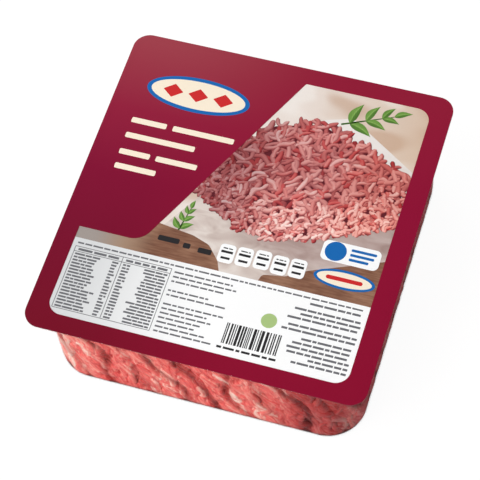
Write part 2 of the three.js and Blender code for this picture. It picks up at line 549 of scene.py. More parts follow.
def marbling_group():
    """Raw meat: lean to fat along its tint and streaked along its fibres, with flecks of fat and blood. It
    has painted shade in its creases and pits, along the foot of the wall and near the right front corner, and
    painted light that makes it a brighter red at the far right."""
    group, given, out = new_group("marbling", Tint="Float", Fibre="Vector", Crease="Float")
    thin, thick = (
        add(group, "Mapping", {"Vector": given["Fibre"], "Scale": scale}).outputs[0]
        for scale in ((0.3, 1.3, 1.3), (0.1, 0.5, 0.5))
    )
    thread = noise(group, thin, 1.2, 4.0, 0.6, 0.4)
    bundle = noise(group, thick, 1.2, 3.0, 0.55, 0.8)
    where = object_place(group)
    cloud = noise(group, where, 75.0, 3.0, 0.55)
    fleck = noise(group, where, 380.0, 4.0, 0.6, 0.8)
    blood = noise(group, where, 210.0, 3.0, 0.6, 1.0)
    tint = plus(group, given["Tint"], fade(group, "X", -58, -38, 0.13, 0.0))
    for wave, size in ((thread, 1.0), (bundle, 1.25), (cloud, 0.4)):
        tint = plus(group, tint, times(group, plus(group, wave, -0.5), size))
    meat = ramp(
        group, tint,
        (0.0, 176, 28, 32), (0.2, 214, 52, 50), (0.44, 237, 92, 86),
        (0.64, 246, 130, 118), (0.8, 251, 170, 154), (1.0, 253, 216, 200),
    )
    flecked = mixed(group, spread(group, fleck, 0.6, 0.72, 0.0, 0.6), meat, srgb(246, 194, 176))
    bloody = mixed(group, spread(group, blood, 0.56, 0.7, 0.0, 0.55), flecked, srgb(192, 40, 42))
    # Painted shade near the right front corner, easing off on the right wall.
    corner = times(group, fade(group, "X", 27, 46, 0.0, 0.88), fade(group, "X", 58, 65, 1.0, 0.3))
    corner_shaded = shaded(group, corner, bloody, 182, 98, 106)
    # Painted light: a brighter red at the far right, where little lamplight reaches the wall.
    painted_right_light = mixed(group, fade(group, "X", 60, 66, 0.0, 0.35), corner_shaded, srgb(244, 62, 88))
    # Painted shade in the creases and pits, and a deeper painted shade along the foot of the wall.
    crease_shaded = shaded(group, given["Crease"], painted_right_light, 158, 74, 66)
    foot = spread(group, given["Crease"], 1.0, FOOT_SHADE_MARK, 0.0, 1.0, smooth=False)
    group.links.new(shaded(group, foot, crease_shaded, 112, 100, 100), out["Colour"])
    group.links.new(spread(group, fleck, 0.3, 0.7, 0.28, 0.5), out["Roughness"])
    group.links.new(plus(group, thread, times(group, bundle, 0.8)), out["Height"])
    return group


GRAIN = print_grain_group()
MARBLING = marbling_group()


# Materials
def printed(name, ink, mottle):
    """Ink on satin film. The ink is a colour, or a function that makes one in the material's nodes."""
    def build(tree):
        colour = ink(tree) if callable(ink) else ink
        grain = add(tree, "Group", {"Ink": colour, "Mottle": mottle}, node_tree=GRAIN)
        return add(tree, "BsdfPrincipled", {
            "Base Color": grain.outputs["Colour"],
            "Roughness": grain.outputs["Roughness"],
            "Normal": bumped(tree, 0.12, 0.2, grain.outputs["Height"]),
            "Specular IOR Level": 0.07,
        }).outputs[0]
    return surfaced(name, build)


def crimson_ink_and_sheen(tree):
    """The crimson film's ink, with a painted sheen that makes it lighter and greyer towards the left back
    corner; darker down the left.
    """
    height = fade(tree, "Y", -70, 70, 0.0, 1.0, smooth=False)
    # Towards the back, the left side's lighter and greyer stops are a painted sheen.
    left = ramp(
        tree, height,
        (0.0, 116, 7, 34), (0.3, 119, 6, 42), (0.52, 128, 6, 48), (0.75, 145, 25, 57), (1.0, 158, 60, 73),
    )
    right = ramp(tree, height, (0.0, 138, 10, 45), (0.6, 142, 12, 51), (1.0, 145, 25, 53))
    return mixed(tree, fade(tree, "X", -55, 25, 0.0, 1.0), left, right)


def backdrop_ink(tree):
    """A softly blurred pale kitchen behind the heap."""
    rise = fade(tree, "X", 5, 62, 0.0, 1.0, smooth=False)
    base = ramp(tree, rise, (0.0, 236, 224, 216), (0.55, 226, 208, 194), (1.0, 216, 190, 168))
    blur = noise(tree, object_place(tree, 0.5, (1.0, 1.8, 1.0)), 34.0, 1.0)
    tan = mixed(tree, spread(tree, blur, 0.5, 0.66, 0.0, 0.6), base, srgb(196, 158, 130))
    return mixed(tree, spread(tree, blur, 0.46, 0.34, 0.0, 0.5), tan, srgb(246, 240, 234))


def paper_ink(tree):
    """Creased baking paper under the heap, shaded near it."""
    creases = noise(tree, object_place(tree, 0.4, (1.0, 2.2, 1.0)), 70.0, 2.0, 0.5, 1.2)
    base = ramp(tree, creases, (0.3, 196, 178, 170), (0.5, 216, 202, 194), (0.7, 230, 220, 213))
    oval = object_place(tree, math.radians(12), (1 / 0.043, 1 / 0.034, 0.0), (31, 15, 0))
    near = add(tree, "VectorMath", {0: oval}, operation="LENGTH").outputs["Value"]
    shadow = times(tree, spread(tree, near, 0.86, 1.16, 0.6, 0.0), fade(tree, "Y", 0, 22, 1.0, 0.0))
    lifted = mixed(tree, fade(tree, "Y", 20, 45, 0.0, 0.85), base, srgb(240, 234, 230))
    return shaded(tree, shadow, lifted, 178, 146, 146)


def wood_ink(tree):
    """A brown board with its grain running across."""
    grain = noise(tree, object_place(tree, -0.1, (0.12, 1.0, 1.0)), 900.0, 4.0, 0.6, 0.3)
    patch = noise(tree, object_place(tree), 90.0, 2.0)
    tone = plus(tree, times(tree, grain, 0.6), times(tree, patch, 0.4))
    return ramp(tree, tone, (0.3, 104, 66, 52), (0.5, 136, 96, 76), (0.7, 164, 124, 100))


def panel_ink(tree):
    """The white panel, faintly grey at its left end."""
    return mixed(tree, fade(tree, "X", -62, 5, 1.0, 0.0), srgb(253, 253, 253), srgb(214, 215, 216))


def strip_ink(tree):
    """The strip above the panel, which turns from grey through tan to wood."""
    tan = mixed(tree, fade(tree, "X", -56, -40, 0.0, 1.0), srgb(160, 150, 144), srgb(164, 136, 114))
    return mixed(tree, fade(tree, "X", -44, -28, 0.0, 1.0), tan, wood_ink(tree))


def heap_ink(tree):
    """Printed strands of meat, lit along their backs and dark between, from the marks on each strand."""
    shade, tint = mark(tree, "shade"), mark(tree, "tint")
    lean, pale, raw = (
        ramp(tree, shade, *((stop, *colour) for stop, colour in zip(HEAP_STOPS, colours)))
        for colours in HEAP_COLOURS
    )
    hue = mixed(tree, spread(tree, tint, 0.04, 0.11, 0.6, 0.0), mixed(tree, tint, lean, pale), raw)
    glint = spread(tree, noise(tree, object_place(tree), 900.0, 2.0), 0.6, 0.7, 0.0, 0.6)
    moist = times(tree, glint, spread(tree, shade, 0.5, 0.9, 0.0, 1.0))
    wet = mixed(tree, moist, hue, srgb(252, 232, 228))
    mauve = shaded(tree, fade(tree, "X", -14, 18, 0.85, 0.0), wet, 190, 172, 182)
    duller = shaded(tree, fade(tree, "Y", 4, 20, 0.0, 0.7), mauve, 228, 214, 218)
    return shaded(tree, fade(tree, "X", 24, 50, 0.0, 0.8), duller, 255, 226, 218)


def leaf_ink(tree):
    """A green leaf, lighter along its middle rib and side veins, from the marks on it."""
    patch = noise(tree, object_place(tree), 160.0, 2.0)
    tone = plus(tree, times(tree, mark(tree, "shade"), 0.75), times(tree, patch, 0.3))
    return ramp(
        tree, tone, (0.1, 52, 84, 34), (0.45, 92, 134, 58), (0.75, 130, 172, 84), (1.0, 186, 206, 140),
    )


def meat_surface(tree):
    """Moist raw meat, from the marks on the core and on each strand."""
    meat = add(tree, "Group", {
        "Tint": mark(tree, "tint"),
        "Fibre": mark(tree, "fibre", "Vector"),
        "Crease": mark(tree, "crease"),
    }, node_tree=MARBLING)
    return add(tree, "BsdfPrincipled", {
        "Base Color": meat.outputs["Colour"],
        "Roughness": meat.outputs["Roughness"],
        "Normal": bumped(tree, 0.5, 0.4, meat.outputs["Height"]),
        "Specular IOR Level": 0.25,
        "Coat Weight": 0.1,
        "Coat Roughness": 0.2,
    }).outputs[0]


def clear_surface(tree):
    """Clear thermoformed plastic with faint drawing marks. Lamplight and rays on their way out pass straight
    through, and so does the larger share of the rest."""
    marks = noise(tree, object_place(tree, 0.0, (1.0, 1.0, 0.25)), 120.0, 3.0)
    glass = add(tree, "BsdfPrincipled", {
        "Base Color": srgb(250, 252, 252),
        "Roughness": spread(tree, marks, 0.3, 0.7, 0.02, 0.07),
        "IOR": 1.42,
        "Transmission Weight": 1.0,
        "Normal": bumped(tree, 0.08, 0.15, marks),
    })
    passing = add(tree, "BsdfTransparent", {"Color": (0.98, 0.98, 0.98, 1)})
    lamp = add(tree, "LightPath").outputs["Is Shadow Ray"]
    leaving = add(tree, "NewGeometry").outputs["Backfacing"]
    share = maths(tree, "MAXIMUM", maths(tree, "MAXIMUM", lamp, leaving), STRAIGHT_SHARE)
    return shader_mix(tree, share, glass, passing)


# The tray
def make_tray():
    """The clear tray: base with a shallow panel, leaning wall, neck and flange, all of one sheet."""
    panel = [
        wall_ring(BASE_PANEL_INSET, BASE_PANEL_RISE, 0.0),
        wall_ring(BASE_PANEL_INSET, BASE_PANEL_RISE),
        wall_ring(BASE_PANEL_INSET - BASE_PANEL_SLOPE, 0.0),
    ]
    panel = [(inset, max(corner, BASE_PANEL_CORNER), z, size) for inset, corner, z, size in panel]
    foot = base_fillet(BASE_FILLET, 0.0, 0.0)
    neck = neck_fillet(NECK_FILLET, 0.0, FLANGE_UNDERSIDE)
    outer = [wall_ring(*spot) for spot in foot + neck]
    edge = FLANGE_EDGE_ROUND
    flange = [
        (edge, LID_CORNER - edge, FLANGE_UNDERSIDE, 1.0),
        (0.0, LID_CORNER, FLANGE_UNDERSIDE + edge, 1.0),
        (0.0, LID_CORNER, FLANGE_TOP - edge, 1.0),
        (edge, LID_CORNER - edge, FLANGE_TOP, 1.0),
    ]
    foot = base_fillet(BASE_FILLET - SHEET, SHEET, SHEET)
    neck = neck_fillet(NECK_FILLET + SHEET, SHEET, FLANGE_TOP)
    inner = [wall_ring(*spot) for spot in reversed(foot + neck)]
    bm = level_skin(SHELL_COLUMNS, panel + outer + flange + inner + [wall_ring(SHEET, SHEET, 0.0)])
    plastic = surfaced("clear_tray_plastic", clear_surface)
    finished("tray_shell", bm, plastic, "tray", sharp=40.0)


# The meat
def crease_shares():
    """How deep each crease is as a share of the deepest, by the same repeatable draw as the solid's."""
    state = FOLD_SEED
    shares = []
    for _ in range(FOLD_COUNT):
        state = (state * DRAW_FACTOR + DRAW_STEP) % DRAW_RANGE
        shares.append(SHALLOWEST_CREASE + (1 - SHALLOWEST_CREASE) * state / DRAW_RANGE)
    return np.array(shares)


SHARES = crease_shares()


def fold_depth(turn, z):
    """How deep the solid's crease is at a share of the way round and a height."""
    wander = sum(np.sin(TURN * waves * turn + z / rise) for waves, rise in CREASE_WAVES)
    phase = FOLD_COUNT * turn + z / FOLD_RISE + CREASE_WANDER * wander
    nearest = np.rint(phase).astype(int) % FOLD_COUNT
    closeness = 0.5 + 0.5 * np.cos(TURN * phase)
    return CREASE_DEPTH * SHARES[nearest] * closeness ** CREASE_SHARPNESS


def above_foot(z):
    """How far the creases and pits have come up from nothing at the foot of the wall."""
    return np.clip((z - CREASE_FOOT) / CREASE_FOOT_RISE, 0.0, 1.0)


def pits(spots):
    """How deep the core's small pits are at some places, as shares of the deepest."""
    lumps = np.array([noise_at(Vector(spot) / PIT_SIZE) for spot in spots])
    return np.clip(lumps * PIT_GAIN - PIT_FLOOR, 0.0, 1.0)


def fold_fibre(spots):
    """Places turned about the pack as they rise, so that streaks along them follow the folds."""
    twist = spots[:, 2] * FOLD_LEAN / (LID_DEPTH / 2 - INSET_BASE)
    cos, sin = np.cos(twist), np.sin(twist)
    x, y, z = spots.T
    return np.column_stack([z, x * cos - y * sin, x * sin + y * cos])


def make_core(meat):
    """The meat's own core, pressed against the wall and the base but for its creases and small pits."""
    foot = base_fillet(BASE_FILLET - CORE_CONTACT, CORE_CONTACT, CORE_CONTACT)
    low, high = foot[-1][1], MEAT_TOP - TOP_EDGE
    wall = [(CORE_CONTACT, low + (high - low) * (step + 1) / CORE_ROWS) for step in range(CORE_ROWS)]
    edge = base_fillet(TOP_EDGE, 0.0, 0.0)[:-1]
    shoulder = [(CORE_CONTACT + distance, MEAT_TOP - z) for distance, z in reversed(edge)]
    rings = [(distance, z, 1.0) for distance, z in foot + wall + shoulder]
    base = [(*rings[0][:2], size) for size in (0.0, 0.35, 0.7)]
    top = [(*rings[-1][:2], size) for size in (0.7, 0.35, 0.0)]
    table = np.array(base + rings + top)

    def place(turn, row):
        distance, z, size = table[row].T
        fold = fold_depth(turn, z)
        pit = PIT_DEPTH * pits(inside_wall(turn, z, distance)) * above_foot(z) * (size == 1.0)
        spots = inside_wall(turn, z, distance + fold * above_foot(z) + pit)
        spots[:, :2] *= size[:, None]
        # Painted shade in the creases and pits, and along the foot of the wall.
        crease = crease_and_foot_shade(fold + PIT_SHADE * pit, z)
        return spots, {"crease": crease, "tint": np.full(len(z), CORE_TINT), "fibre": fold_fibre(spots)}

    bm = wrapped(CORE_COLUMNS, len(table), place)
    finished("mince_core", bm, meat, "mince", sharp=60.0)


def crease_and_foot_shade(depth, z):
    """The painted shade of the meat where it stands back from the wall, and along the foot of the wall."""
    foot = np.clip((FOOT_SHADE_TOP - z) / FOOT_SHADE_FALL, 0, 1)
    return np.clip(np.clip(depth / DARK_DEPTH, 0, 1) + FOOT_SHADE_MARK * foot, 0, FOOT_SHADE_MARK)


def pressed(distance, contact):
    """A distance kept at or behind the contact with the wall, with a soft turn into it."""
    ahead = (distance - contact) / CONTACT_SOFTNESS
    return contact + CONTACT_SOFTNESS * np.logaddexp(0.0, ahead)


def strand_marks(draw, strands, tint, crease):
    """The marks that the meat's material reads: its tint, the way along its fibres, and its painted shade."""
    fibre = np.stack([
        ALONG * strands["length"][:, None],
        ACROSS * strands["half_width"][:, None],
        OUT * strands["half_thickness"][:, None],
    ], axis=-1) + draw.uniform(0, 400, (len(tint), 1, 3))
    return {"tint": np.broadcast_to(tint[:, None], crease.shape), "fibre": fibre, "crease": crease}


def jittered(draw, low, high, columns, rows, jitter):
    """Places spread evenly over a rectangle, each moved a little at random."""
    across, up = np.meshgrid((np.arange(columns) + 0.5) / columns, (np.arange(rows) + 0.5) / rows)
    shares = np.stack([across.ravel(), up.ravel()], axis=-1)
    shares = shares + draw.uniform(-jitter, jitter, shares.shape) / (columns, rows)
    return np.asarray(low) + shares * (np.asarray(high) - np.asarray(low))


def lean_or_fat(draw, count, drift):
    """A tint for each strand: most are lean, some pink, a few nearly white with fat."""
    kind = draw.uniform(0, 1, count)
    lean, pink, fat = (draw.uniform(*tints, count) for tints in ((0.32, 0.56), (0.55, 0.74), (0.76, 0.95)))
    tint = np.where(kind < LEAN_SHARE, lean, np.where(kind > 1 - FAT_SHARE, fat, pink))
    return np.clip(tint + drift, 0.0, 1.0)


def make_wall_strands(meat):
    """Strands of meat pressed flat against the wall all round, lying along the slanting folds."""
    draw = np.random.default_rng(WALL_SEED)
    round_way = 2 * (LID_WIDTH + LID_DEPTH) - 8 * INSET_TOP - (8 - 2 * math.pi) * WALL_CORNER_TOP
    slant = math.pi / 2 + math.atan(FOLD_LEAN)
    middles = jittered(draw, (0.0, 1.5), (round_way, MEAT_TOP - 0.5), columns=126, rows=6, jitter=0.8)
    strands = drawn_strands(
        draw, middles, slant, math.radians(15),
        length=(9.0, 20.0), half_width=(1.3, 2.5), half_thickness=(1.0, 1.6),
    )
    u, v, out, _ = laid_out(strands)
    turn = (u / round_way) % 1.0
    z = np.clip(v, SHEET, MEAT_TOP)
    radius = BASE_FILLET - SHEET
    drop = np.clip(radius - (z - SHEET), 0.0, radius)
    round_in = radius - np.sqrt(radius ** 2 - drop ** 2)
    proud = draw.uniform(*STRAND_PROUD, (len(middles), 1))
    contact = draw.uniform(*STRAND_CONTACT, (len(middles), 1))
    fold = fold_depth(turn, z)
    stand = CORE_CONTACT + strands["half_thickness"][:, None] - out - proud
    behind = pressed(stand + BRIDGED * fold * above_foot(z), contact)
    bands = TURN * FOLD_COUNT * middles[:, 0] / round_way / TINT_BAND
    tint = lean_or_fat(draw, len(middles), TINT_DRIFT * np.sin(bands))
    shadow = FOLD_SHADE * fold + STRAND_SHADE * np.clip(behind - CORE_CONTACT, 0.0, 1.5)
    marks = strand_marks(draw, strands, tint, crease_and_foot_shade(shadow, z))
    places = inside_wall(turn, z, behind + round_in)
    joined_strands("mince_wall_strands", places, marks, meat, "mince")


def make_base_strands(meat):
    """Strands pressed flat against the tray's base, seen through it from below."""
    draw = np.random.default_rng(BASE_SEED)
    half = np.array((LID_WIDTH, LID_DEPTH)) / 2 - INSET_BASE - BASE_FILLET - 1.0
    middles = jittered(draw, -half, half, columns=24, rows=15, jitter=0.9)
    over = np.maximum(np.abs(middles) - (half - WALL_CORNER_BASE), 0.0)
    middles = middles[np.hypot(over[:, 0], over[:, 1]) < WALL_CORNER_BASE - 3.0]
    strands = drawn_strands(
        draw, middles, 0.6, 0.9, length=(9.0, 19.0), half_width=(1.5, 2.6), half_thickness=(1.1, 1.7),
    )
    u, v, out, _ = laid_out(strands)
    contact = draw.uniform(*STRAND_CONTACT, (len(middles), 1))
    proud = draw.uniform(*STRAND_PROUD, (len(middles), 1))
    z = pressed(CORE_CONTACT + strands["half_thickness"][:, None] - out - proud, contact)
    tint = lean_or_fat(draw, len(middles), 0.0)
    # Painted shade where the strands stand back from the base.
    crease = np.clip((z - CORE_CONTACT) / BASE_DARK_DEPTH, 0, 1)
    marks = strand_marks(draw, strands, tint, crease)
    reach = half + 2.0
    flat = np.clip(np.stack([u, v], axis=-1), -reach, reach)
    places = np.concatenate([flat, z[..., None]], axis=-1)
    joined_strands("mince_base_strands", places, marks, meat, "mince")


# The film and its print
def print_height(level):
    """The height of a printed field's face. Levels count up from the base ply."""
    return BASE_PLY_TOP + PRINT_STEP * level


def film_rings():
    """The base ply's profile, from the middle of its underside round to the middle of its face."""
    soft, inner = 0.15, 5.0
    return [
        (inner, LID_CORNER - inner, FILM_BOTTOM, 0.0),
        (soft, LID_CORNER - soft, FILM_BOTTOM, 1.0),
        (0.0, LID_CORNER, FILM_BOTTOM + soft, 1.0),
        (0.0, LID_CORNER, BASE_PLY_TOP, 1.0),
        (inner, LID_CORNER - inner, BASE_PLY_TOP, 1.0),
        (inner, LID_CORNER - inner, BASE_PLY_TOP, 0.0),
    ]


def outline_loop(bm, corners, z, steps=10):
    """A closed loop of edges in a level plane. Each corner has its place and its rounding radius."""
    points = []
    count = len(corners)
    for index, (x, y, radius) in enumerate(corners):
        here = Vector((x, y))
        to_last = (Vector(corners[index - 1][:2]) - here).normalized()
        to_next = (Vector(corners[(index + 1) % count][:2]) - here).normalized()
        if radius <= 0:
            points.append(here)
            continue
        half = to_last.angle(to_next) / 2
        centre = here + (to_last + to_next).normalized() * radius / math.sin(half)
        start = here + to_last * radius / math.tan(half) - centre
        end = here + to_next * radius / math.tan(half) - centre
        turn = start.angle_signed(end)
        for step in range(steps + 1):
            points.append(centre + Matrix.Rotation(-turn * step / steps, 2) @ start)
    verts = [bm.verts.new((point.x, point.y, z)) for point in points]
    return [bm.edges.new((verts[i - 1], verts[i])) for i in range(len(verts))]


def thickened(bm, thickness=PRINT_THICKNESS):
    """Flat fields made into thin closed plates whose faces stay where they are."""
    down = bmesh.ops.extrude_face_region(bm, geom=list(bm.faces), use_keep_orig=True)
    verts = [item for item in down["geom"] if isinstance(item, bmesh.types.BMVert)]
    bmesh.ops.translate(bm, vec=(0, 0, -thickness), verts=verts)


def poured(target, source):
    """Moves one bmesh's shapes into another."""
    bmesh.ops.recalc_face_normals(source, faces=source.faces)
    spare = bpy.data.meshes.new("spare")
    source.to_mesh(spare)
    source.free()
    target.from_mesh(spare)
    bpy.data.meshes.remove(spare)


def plate(target, level, *loops):
    """A field of print inside its first loop of corners, with any other loops as holes."""
    bm = bmesh.new()
    for corners in loops:
        outline_loop(bm, corners, print_height(level))
    bmesh.ops.triangle_fill(bm, use_beauty=True, edges=bm.edges)
    thickened(bm)
    poured(target, bm)


def box_corners(left, front, right, back, radius=0.0):
    """The corners of an upright rectangle, all rounded alike."""
    return [(left, front, radius), (right, front, radius), (right, back, radius), (left, back, radius)]


def box(target, level, left, front, right, back, radius=0.0):
    """A field of print in the form of an upright rectangle."""
    plate(target, level, box_corners(left, front, right, back, radius))


def disc(target, level, x, y, half_width, half_depth=None, segments=40):
    """A round or oval field of print."""
    bm = bmesh.new()
    size = Matrix.Diagonal((half_width, half_depth or half_width, 1.0, 1.0))
    place = Matrix.Translation((x, y, print_height(level))) @ size
    bmesh.ops.create_circle(bm, cap_ends=True, segments=segments, radius=1.0, matrix=place)
    thickened(bm)
    poured(target, bm)


def bar(target, level, left, front, right, back):
    """A small square-ended bar of print."""
    height = print_height(level)
    middle = ((left + right) / 2, (front + back) / 2, height - PRINT_THICKNESS / 2)
    size = Matrix.Diagonal((right - left, back - front, PRINT_THICKNESS, 1.0))
    bmesh.ops.create_cube(target, size=1.0, matrix=Matrix.Translation(middle) @ size)


def bar_row(target, level, draw, left, right, y, height, share=1.0, gap=0.75):
    """Plain bars of uneven length in a row, over a share of the way from left to right."""
    end = left + (right - left) * share
    x = left
    while x < end - height:
        length = min(draw.uniform(1.6, 6.0) * height, end - x)
        bar(target, level, x, y - height / 2, x + length, y + height / 2)
        x += length + gap * height


def print_piece(name, bm, ink, mottle):
    """A finished piece of print in its own ink."""
    finished(name, bm, printed(name + "_ink", ink, mottle))


def crimson_field_window():
    """The opening in the crimson ply: the front panel, and the picture right of the slanted field."""
    return [
        (WINDOW_LEFT, WINDOW_FRONT, WINDOW_ROUND),
        (WINDOW_RIGHT, WINDOW_FRONT, WINDOW_ROUND),
        (WINDOW_RIGHT, WINDOW_BACK, WINDOW_ROUND),
        (*FIELD_BACK, FIELD_BACK_ROUND),
        (*FIELD_TURN, FIELD_TURN_ROUND),
        (WINDOW_LEFT, FIELD_FRONT, 0.0),
    ]


def lid_loop(inset):
    """The lid's outline at an inset from its edge."""
    half_x, half_y = LID_WIDTH / 2 - inset, LID_DEPTH / 2 - inset
    return box_corners(-half_x, -half_y, half_x, half_y, LID_CORNER - inset)


def make_film(crimson):
    """The lid film: a base ply over the flange, and a crimson ply with its window and two weld lines."""
    base = level_skin(SHELL_COLUMNS, film_rings())
    finished("lid_base_ply", base, crimson, "lid_film", sharp=50.0)
    top, bm = bmesh.new(), bmesh.new()
    outline_loop(bm, lid_loop(0.0), TOP_PLY_TOP, steps=24)
    outline_loop(bm, crimson_field_window(), TOP_PLY_TOP, steps=16)
    bmesh.ops.triangle_fill(bm, use_beauty=True, edges=bm.edges)
    thickened(bm, TOP_PLY_TOP - BASE_PLY_TOP + PLY_OVERLAP)
    poured(top, bm)
    for inset in WELD_LINES:
        plate(top, TOP_LEVEL + 1, lid_loop(inset), lid_loop(inset + WELD_WIDTH))
    finished("lid_crimson_ply", top, crimson, "lid_film")


# The heap in the picture: its outline, and the ridge between its top and its front face
HEAP_EDGE = WINDOW_RIGHT + 0.5
HEAP_OUTLINE = (
    (-23.5, 4.5), (-8.0, -5.5), (-1.0, -10.3), (12.0, -11.2), (30.0, -7.0), (46.0, -0.5),
    (HEAP_EDGE, 8.0), (HEAP_EDGE, 30.5), (40.0, 41.0), (19.0, 48.8), (0.0, 43.0), (-13.0, 29.0),
)
HEAP_RIDGE = ((-20.0, 20.0), (8.0, 2.5), (26.0, 6.5), (41.0, 14.0), (64.0, 29.0))
HEAP_LIGHT = np.array((-0.55, 0.83))
HEAP_GROUND_SIZE = 0.955


def inside_outline(spots, outline):
    """Which of some places lie inside a closed outline."""
    inside = np.zeros(len(spots), dtype=bool)
    x, y = spots.T
    for (x1, y1), (x2, y2) in zip(outline, outline[1:] + outline[:1]):
        if y1 != y2:
            crossing = x1 + (y - y1) * (x2 - x1) / (y2 - y1)
            inside ^= ((y1 > y) != (y2 > y)) & (x < crossing)
    return inside


def ridge_at(x):
    """How far back the heap's ridge lies at places across the lid."""
    return np.interp(x, *zip(*HEAP_RIDGE))


def make_heap():
    """The printed heap: low overlapping strands, with marks for their lit backs and dark sides."""
    draw = np.random.default_rng(HEAP_SEED)
    outline = np.array(HEAP_OUTLINE)
    low, high = outline.min(axis=0), outline.max(axis=0)
    all_over = jittered(draw, low, high, columns=39, rows=29, jitter=0.75)
    in_between = jittered(draw, low, high, columns=39, rows=29, jitter=0.75)
    in_between = in_between[in_between[:, 1] < ridge_at(in_between[:, 0])]
    middles = np.concatenate([all_over, in_between])
    middles = middles[inside_outline(middles, HEAP_OUTLINE)]
    strands = drawn_strands(
        draw, middles, 0.9, 1.0, length=(4.6, 9.0), half_width=(0.92, 1.34), half_thickness=(0.018, 0.024),
    )
    strands["bend"] *= HEAP_BEND
    in_front = middles[:, 1] < ridge_at(middles[:, 0]) + draw.normal(0.0, 2.0, len(middles))
    strands["length"][in_front] *= FRONT_LENGTH
    strands["half_width"][in_front] *= FRONT_WIDTH
    u, v, out, left = laid_out(strands)
    count = len(middles)
    above = draw.uniform(0.0, 1.0, (count, 1))
    places = np.stack([u, v, print_height(HEAP_LEVEL) + HEAP_HEIGHT * above + out], axis=-1)
    lit = HEAP_DARKEST + HEAP_TOP_LIGHT * np.clip(OUT, 0, 1) + HEAP_SIDE_LIGHT * ACROSS * (left @ HEAP_LIGHT)
    bright = draw.uniform(0.78, 1.16, (count, 1)) * (0.5 + 0.6 * above)
    front_light = np.interp(middles[:, 0], (-12, 12), FRONT_LIGHT)
    bright *= np.where(in_front, front_light, 1.0)[:, None]
    tint = np.broadcast_to(draw.uniform(0, 1, (count, 1)) ** 1.3, u.shape)
    marks = {"shade": np.clip(lit * bright, 0, 1), "tint": tint}
    ink = printed("print_heap_ink", heap_ink, 0.25)
    joined_strands("print_heap", places, marks, ink)


def leaf(target, root, heading, length, width, level):
    """One pointed leaf, with its rib and side veins marked lighter."""
    bm = bmesh.new()
    layer = bm.verts.layers.float.new("shade")
    bmesh.ops.create_grid(bm, x_segments=18, y_segments=8, size=0.5)
    turn = Matrix.Rotation(heading, 2)
    for vert in bm.verts:
        along, side = vert.co.x + 0.5, vert.co.y * 2
        half = width / 2 * math.sin(math.pi * min(along, 1.0) ** 0.8) * (1 - 0.25 * along)
        arch = LEAF_ARCH * length * math.sin(math.pi * along)
        spot = turn @ Vector((along * length, side * max(half, 0.04) + arch))
        vein = 0.5 + 0.5 * math.cos(TURN * (VEINS * along - VEIN_SLANT * abs(side)))
        rib = max(0.0, 1 - abs(side) * 4)
        lit = 0.16 if side > 0 else -0.1
        vert[layer] = 0.35 + 0.25 * vein * (1 - abs(side)) + 0.5 * rib + lit
        vert.co = (root.x + spot.x, root.y + spot.y, print_height(level))
    thickened(bm)
    poured(target, bm)


def stem(target, root, tip, level):
    """The thin stem that a sprig's leaves stand on, narrower towards its tip."""
    way = (tip - root).normalized()
    side = Vector((-way.y, way.x))
    foot = root - way * STEM_TAIL
    corners = (foot - side * 0.45, tip - side * 0.15, tip + side * 0.15, foot + side * 0.45)
    plate(target, level, [(*corner, 0.0) for corner in corners])


def make_sprigs():
    """Two sprigs of small leaves, one above the heap and one beside it."""
    bm = bmesh.new()
    bm.verts.layers.float.new("shade")
    for middle, heading, length, width in SPRIGS:
        root = Vector(middle)
        way = Vector((math.cos(heading), math.sin(heading)))
        for pair in range(3):
            base = root + way * pair * length * 0.62
            for side in (1, -1):
                size = 1 - 0.16 * pair
                angle = heading + side * math.radians(48 - 8 * pair)
                leaf(bm, base, angle, length * size, width * size, 3.0 + 0.5 * pair + 0.2 * side)
        tip = root + way * length * 1.7
        leaf(bm, tip, heading, length * 0.7, width * 0.7, 4.6)
        stem(bm, root, tip, 2.8)
    print_piece("print_sprigs", bm, leaf_ink, 0.2)


def make_picture():
    """The picture's flat fields: backdrop, paper, strip, boards, and the dark ground under the heap."""
    behind, front, right = PANEL_BACK - 2, -34, 66
    backdrop = box_corners(-42, behind, WINDOW_RIGHT + 2, WINDOW_BACK + 2)
    paper = [(-40, front, 0), (right, front, 0), (right, 31, 0), (31, 53.5, 2), (20, 50, 0), (-2, 30, 0)]
    strip = box_corners(WINDOW_LEFT - 2, behind, -36, FIELD_FRONT + 3)
    board = [
        (-40, front, 0), (0.5, front, 0), (-3, -26, 5), (-8.5, -19.8, 5), (-16, -17.2, 8), (-40, -14, 0),
    ]
    far_board = [
        (14, front, 0), (right, front, 0), (right, -7, 0), (33, -20.8, 2), (25, -25.6, 2), (16, -27.2, 2),
    ]
    centre = Vector(np.mean(HEAP_OUTLINE, axis=0))
    ground = [(*centre.lerp(Vector(spot), HEAP_GROUND_SIZE), 0) for spot in HEAP_OUTLINE]
    fields = (
        ("print_backdrop", backdrop_ink, 0.12, 1, backdrop),
        ("print_paper", paper_ink, 0.12, 2, paper),
        ("print_strip", strip_ink, 0.12, 3, strip),
        ("print_board", strip_ink, 0.12, 3.5, board),
        ("print_far_board", wood_ink, 0.12, 3, far_board),
        ("print_heap_ground", srgb(96, 34, 42), 0.5, 4, ground),
    )
    for name, ink, mottle, level, corners in fields:
        bm = bmesh.new()
        plate(bm, level, corners)
        print_piece(name, bm, ink, mottle)


def make_white_fields():
    """The white panel, five rounded cells, and the badge."""
    bm = bmesh.new()
    box(bm, PANEL_LEVEL, WINDOW_LEFT - 1, WINDOW_FRONT - 1, WINDOW_RIGHT + 1, PANEL_BACK)
    for x, y in CELLS:
        box(bm, BADGE_LEVEL, x - 3.3, y - 4.3, x + 3.3, y + 4.3, 1.7)
    box(bm, BADGE_LEVEL, 35.6, -14.2, 59.4, -4.9, 2.4)
    print_piece("print_white", bm, panel_ink, 0.03)


